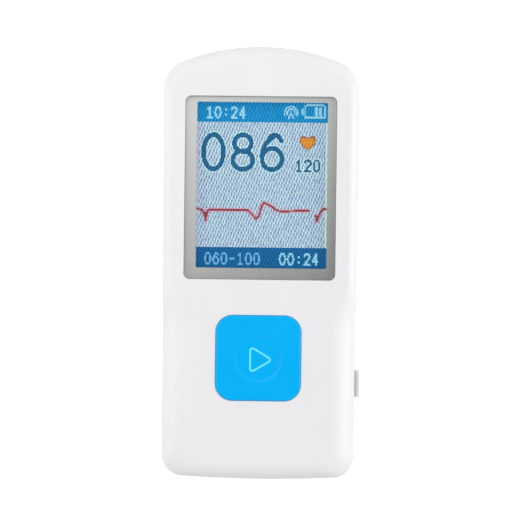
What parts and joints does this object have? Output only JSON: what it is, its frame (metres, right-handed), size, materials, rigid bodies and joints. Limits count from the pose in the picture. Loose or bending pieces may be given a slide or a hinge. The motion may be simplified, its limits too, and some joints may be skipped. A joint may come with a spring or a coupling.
{
  "type": "handheld heart rhythm monitor",
  "caption": "Palm-sized single-lead heart monitor with a colour display, one square button, rear electrodes and a charging socket.",
  "frame": {"origin": "middle of the flat rear face, which lies on the floor", "axes": "+Z out of the display, +Y towards the domed crown, +X towards the charging socket"},
  "size_m": [0.046, 0.1, 0.0154],
  "materials": {
    "white_shell": "fine satin",
    "window": "clear polished",
    "grey_print": "printed",
    "black_plastic": "satin",
    "black_foam": "foam",
    "display": "gloss",
    "diffuser": "frosted",
    "flex_film": "film",
    "pale_plastic": "satin",
    "blue_key": "satin",
    "board_green": "solder mask",
    "brown_ceramic": "matte",
    "battery_foil": "satin",
    "red_lead": "satin",
    "black_lead": "satin",
    "steel": "satin",
    "gold_pin": "polished"
  },
  "bodies": {
    "housing": {"front_cover": "white_shell", "rear_cover": "white_shell", "display_window": "window", "window_border": "grey_print", "window_tape": "black_plastic", "display_gasket": "black_foam", "display_glass": "display", "display_backlight": "diffuser", "display_tray": "steel", "display_pad": "pale_plastic", "display_flex": "flex_film", "flex_connector": "pale_plastic", "switch_body": "black_plastic", "circuit_board": "board_green", "port_shell": "steel", "port_tongue": "black_plastic", "processor_chip": "black_plastic", "heart_signal_chip": "black_plastic", "charge_chip": "black_plastic", "radio_module": "steel", "crystal": "steel", "small_parts": "brown_ceramic", "battery_pack": "battery_foil", "battery_tape": "pale_plastic", "battery_socket": "pale_plastic", "battery_lead_red": "red_lead", "battery_lead_black": "black_lead", "electrode_chest": "steel", "electrode_left": "steel", "electrode_right": "steel", "electrode_washers": "steel", "contact_pins": "gold_pin", "cover_screws": "steel", "board_screws": "steel"},
    "button": {"measure_button": "blue_key"},
    "plunger": {"switch_plunger": "pale_plastic"}
  },
  "joints": [
    {"name": "button_press", "type": "slide", "parent": "housing", "child": "button", "axis": [0, 0, -1], "range_m": [0, 0.0004], "stiffness_N_per_m": 4000, "springref_m": -0.0002},
    {"name": "plunger_press", "type": "slide", "parent": "housing", "child": "plunger", "axis": [0, 0, -1], "range_m": [0, 0.0004]}
  ],
  "couplings": [
    {"joint": "plunger_press", "follows": "button_press", "ratio": 1}
  ]
}
